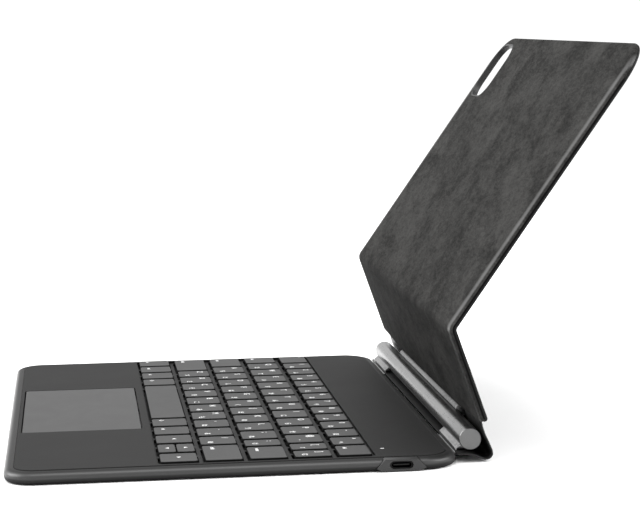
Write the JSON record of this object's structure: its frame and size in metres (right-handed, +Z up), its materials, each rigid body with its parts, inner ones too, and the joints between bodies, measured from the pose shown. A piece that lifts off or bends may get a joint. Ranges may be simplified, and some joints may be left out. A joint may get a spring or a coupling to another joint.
{
  "type": "tablet keyboard case",
  "caption": "Slim keyboard base with trackpad and a two-panel folding lid on a barrel hinge, made to hold a tablet by magnets.",
  "frame": {"origin": "centre of the overall box at table height, with the lid open as shown", "axes": "+X to the user's right, +Y from the user to the rear, +Z up"},
  "size_m": [0.247, 0.2546, 0.1668],
  "materials": {
    "shell": "soft-touch coating",
    "deck": "soft-touch coating",
    "bed": "matt black moulding",
    "key": "fine matt key cap",
    "pad": "satin glass-like plate",
    "aluminium": "satin anodised",
    "steel": "bright",
    "skin": "soft-touch skin",
    "lining": "short-pile microfibre",
    "spine": "matt flexible spine",
    "board": "solder mask",
    "lamp": "small lamp window"
  },
  "bodies": {
    "base": {"base_shell": "shell", "deck_plate": "deck", "key_bed": "bed", "ballast_plate": "steel", "main_board": "board", "usb_socket": "steel", "port_housing": "shell", "status_led": "lamp", "hinge_end_left": "aluminium", "hinge_end_right": "aluminium", "hinge_pin_left": "steel", "hinge_pin_right": "steel", "trackpad_switch": "bed", "spine_strip": "spine"},
    "lower_panel": {"barrel_tube": "aluminium", "lid_bracket": "steel", "lower_board": "skin", "lower_lining": "lining"},
    "upper_panel": {"upper_board": "skin", "upper_lining": "lining", "camera_trim": "skin", "magnet_carrier": "steel", "fold_strip": "skin"},
    "trackpad": {"trackpad_plate": "pad"},
    "cap_fn": {"key_fn": "key"},
    "cap_control": {"key_control": "key"},
    "cap_alt_left": {"key_alt_left": "key"},
    "cap_meta_left": {"key_meta_left": "key"},
    "cap_space": {"key_space": "key"},
    "cap_meta_right": {"key_meta_right": "key"},
    "cap_alt_right": {"key_alt_right": "key"},
    "cap_arrow_left": {"key_arrow_left": "key"},
    "cap_arrow_up": {"key_arrow_up": "key"},
    "cap_arrow_right": {"key_arrow_right": "key"},
    "cap_arrow_down": {"key_arrow_down": "key"},
    "cap_shift_left": {"key_shift_left": "key"},
    "cap_z": {"key_z": "key"},
    "cap_x": {"key_x": "key"},
    "cap_c": {"key_c": "key"},
    "cap_v": {"key_v": "key"},
    "cap_b": {"key_b": "key"},
    "cap_n": {"key_n": "key"},
    "cap_m": {"key_m": "key"},
    "cap_comma": {"key_comma": "key"},
    "cap_period": {"key_period": "key"},
    "cap_slash": {"key_slash": "key"},
    "cap_shift_right": {"key_shift_right": "key"},
    "cap_caps": {"key_caps": "key"},
    "cap_a": {"key_a": "key"},
    "cap_s": {"key_s": "key"},
    "cap_d": {"key_d": "key"},
    "cap_f": {"key_f": "key"},
    "cap_g": {"key_g": "key"},
    "cap_h": {"key_h": "key"},
    "cap_j": {"key_j": "key"},
    "cap_k": {"key_k": "key"},
    "cap_l": {"key_l": "key"},
    "cap_semicolon": {"key_semicolon": "key"},
    "cap_quote": {"key_quote": "key"},
    "cap_enter": {"key_enter": "key"}
  },
  "joints": [
    {"name": "barrel_turn", "type": "hinge", "parent": "base", "child": "lower_panel", "pos_m": [0, 0.05877, 0.0088], "axis": [1, 0, 0], "range_deg": [-8, 70.8], "deforming": ["spine_strip"]},
    {"name": "click_pad_press", "type": "hinge", "parent": "base", "child": "trackpad", "pos_m": [0, -0.07113, 0.00395], "axis": [1, 0, 0], "range_deg": [0, 0.7], "stiffness_Nm_per_rad": 3, "springref_deg": -0.57},
    {"name": "fold_tilt", "type": "hinge", "parent": "lower_panel", "child": "upper_panel", "pos_m": [0, 0.04874, 0.05614], "axis": [1, 0, 0], "range_deg": [-6, 54.4], "deforming": ["fold_strip"]},
    {"name": "key_fn_press", "type": "slide", "parent": "base", "child": "cap_fn", "axis": [0, 0, -1], "range_m": [0, 0.001], "stiffness_N_per_m": 400, "springref_m": -0.0006},
    {"name": "key_control_press", "type": "slide", "parent": "base", "child": "cap_control", "axis": [0, 0, -1], "range_m": [0, 0.001], "stiffness_N_per_m": 400, "springref_m": -0.0006},
    {"name": "key_alt_left_press", "type": "slide", "parent": "base", "child": "cap_alt_left", "axis": [0, 0, -1], "range_m": [0, 0.001], "stiffness_N_per_m": 400, "springref_m": -0.0006},
    {"name": "key_meta_left_press", "type": "slide", "parent": "base", "child": "cap_meta_left", "axis": [0, 0, -1], "range_m": [0, 0.001], "stiffness_N_per_m": 400, "springref_m": -0.0006},
    {"name": "key_space_press", "type": "slide", "parent": "base", "child": "cap_space", "axis": [0, 0, -1], "range_m": [0, 0.001], "stiffness_N_per_m": 400, "springref_m": -0.0006},
    {"name": "key_meta_right_press", "type": "slide", "parent": "base", "child": "cap_meta_right", "axis": [0, 0, -1], "range_m": [0, 0.001], "stiffness_N_per_m": 400, "springref_m": -0.0006},
    {"name": "key_alt_right_press", "type": "slide", "parent": "base", "child": "cap_alt_right", "axis": [0, 0, -1], "range_m": [0, 0.001], "stiffness_N_per_m": 400, "springref_m": -0.0006},
    {"name": "key_arrow_left_press", "type": "slide", "parent": "base", "child": "cap_arrow_left", "axis": [0, 0, -1], "range_m": [0, 0.001], "stiffness_N_per_m": 400, "springref_m": -0.0006},
    {"name": "key_arrow_up_press", "type": "slide", "parent": "base", "child": "cap_arrow_up", "axis": [0, 0, -1], "range_m": [0, 0.001], "stiffness_N_per_m": 400, "springref_m": -0.0006},
    {"name": "key_arrow_right_press", "type": "slide", "parent": "base", "child": "cap_arrow_right", "axis": [0, 0, -1], "range_m": [0, 0.001], "stiffness_N_per_m": 400, "springref_m": -0.0006},
    {"name": "key_arrow_down_press", "type": "slide", "parent": "base", "child": "cap_arrow_down", "axis": [0, 0, -1], "range_m": [0, 0.001], "stiffness_N_per_m": 400, "springref_m": -0.0006},
    {"name": "key_shift_left_press", "type": "slide", "parent": "base", "child": "cap_shift_left", "axis": [0, 0, -1], "range_m": [0, 0.001], "stiffness_N_per_m": 400, "springref_m": -0.0006},
    {"name": "key_z_press", "type": "slide", "parent": "base", "child": "cap_z", "axis": [0, 0, -1], "range_m": [0, 0.001], "stiffness_N_per_m": 400, "springref_m": -0.0006},
    {"name": "key_x_press", "type": "slide", "parent": "base", "child": "cap_x", "axis": [0, 0, -1], "range_m": [0, 0.001], "stiffness_N_per_m": 400, "springref_m": -0.0006},
    {"name": "key_c_press", "type": "slide", "parent": "base", "child": "cap_c", "axis": [0, 0, -1], "range_m": [0, 0.001], "stiffness_N_per_m": 400, "springref_m": -0.0006},
    {"name": "key_v_press", "type": "slide", "parent": "base", "child": "cap_v", "axis": [0, 0, -1], "range_m": [0, 0.001], "stiffness_N_per_m": 400, "springref_m": -0.0006},
    {"name": "key_b_press", "type": "slide", "parent": "base", "child": "cap_b", "axis": [0, 0, -1], "range_m": [0, 0.001], "stiffness_N_per_m": 400, "springref_m": -0.0006},
    {"name": "key_n_press", "type": "slide", "parent": "base", "child": "cap_n", "axis": [0, 0, -1], "range_m": [0, 0.001], "stiffness_N_per_m": 400, "springref_m": -0.0006},
    {"name": "key_m_press", "type": "slide", "parent": "base", "child": "cap_m", "axis": [0, 0, -1], "range_m": [0, 0.001], "stiffness_N_per_m": 400, "springref_m": -0.0006},
    {"name": "key_comma_press", "type": "slide", "parent": "base", "child": "cap_comma", "axis": [0, 0, -1], "range_m": [0, 0.001], "stiffness_N_per_m": 400, "springref_m": -0.0006},
    {"name": "key_period_press", "type": "slide", "parent": "base", "child": "cap_period", "axis": [0, 0, -1], "range_m": [0, 0.001], "stiffness_N_per_m": 400, "springref_m": -0.0006},
    {"name": "key_slash_press", "type": "slide", "parent": "base", "child": "cap_slash", "axis": [0, 0, -1], "range_m": [0, 0.001], "stiffness_N_per_m": 400, "springref_m": -0.0006},
    {"name": "key_shift_right_press", "type": "slide", "parent": "base", "child": "cap_shift_right", "axis": [0, 0, -1], "range_m": [0, 0.001], "stiffness_N_per_m": 400, "springref_m": -0.0006},
    {"name": "key_caps_press", "type": "slide", "parent": "base", "child": "cap_caps", "axis": [0, 0, -1], "range_m": [0, 0.001], "stiffness_N_per_m": 400, "springref_m": -0.0006},
    {"name": "key_a_press", "type": "slide", "parent": "base", "child": "cap_a", "axis": [0, 0, -1], "range_m": [0, 0.001], "stiffness_N_per_m": 400, "springref_m": -0.0006},
    {"name": "key_s_press", "type": "slide", "parent": "base", "child": "cap_s", "axis": [0, 0, -1], "range_m": [0, 0.001], "stiffness_N_per_m": 400, "springref_m": -0.0006},
    {"name": "key_d_press", "type": "slide", "parent": "base", "child": "cap_d", "axis": [0, 0, -1], "range_m": [0, 0.001], "stiffness_N_per_m": 400, "springref_m": -0.0006},
    {"name": "key_f_press", "type": "slide", "parent": "base", "child": "cap_f", "axis": [0, 0, -1], "range_m": [0, 0.001], "stiffness_N_per_m": 400, "springref_m": -0.0006},
    {"name": "key_g_press", "type": "slide", "parent": "base", "child": "cap_g", "axis": [0, 0, -1], "range_m": [0, 0.001], "stiffness_N_per_m": 400, "springref_m": -0.0006},
    {"name": "key_h_press", "type": "slide", "parent": "base", "child": "cap_h", "axis": [0, 0, -1], "range_m": [0, 0.001], "stiffness_N_per_m": 400, "springref_m": -0.0006},
    {"name": "key_j_press", "type": "slide", "parent": "base", "child": "cap_j", "axis": [0, 0, -1], "range_m": [0, 0.001], "stiffness_N_per_m": 400, "springref_m": -0.0006},
    {"name": "key_k_press", "type": "slide", "parent": "base", "child": "cap_k", "axis": [0, 0, -1], "range_m": [0, 0.001], "stiffness_N_per_m": 400, "springref_m": -0.0006},
    {"name": "key_l_press", "type": "slide", "parent": "base", "child": "cap_l", "axis": [0, 0, -1], "range_m": [0, 0.001], "stiffness_N_per_m": 400, "springref_m": -0.0006},
    {"name": "key_semicolon_press", "type": "slide", "parent": "base", "child": "cap_semicolon", "axis": [0, 0, -1], "range_m": [0, 0.001], "stiffness_N_per_m": 400, "springref_m": -0.0006},
    {"name": "key_quote_press", "type": "slide", "parent": "base", "child": "cap_quote", "axis": [0, 0, -1], "range_m": [0, 0.001], "stiffness_N_per_m": 400, "springref_m": -0.0006},
    {"name": "key_enter_press", "type": "slide", "parent": "base", "child": "cap_enter", "axis": [0, 0, -1], "range_m": [0, 0.001], "stiffness_N_per_m": 400, "springref_m": -0.0006}
  ]
}
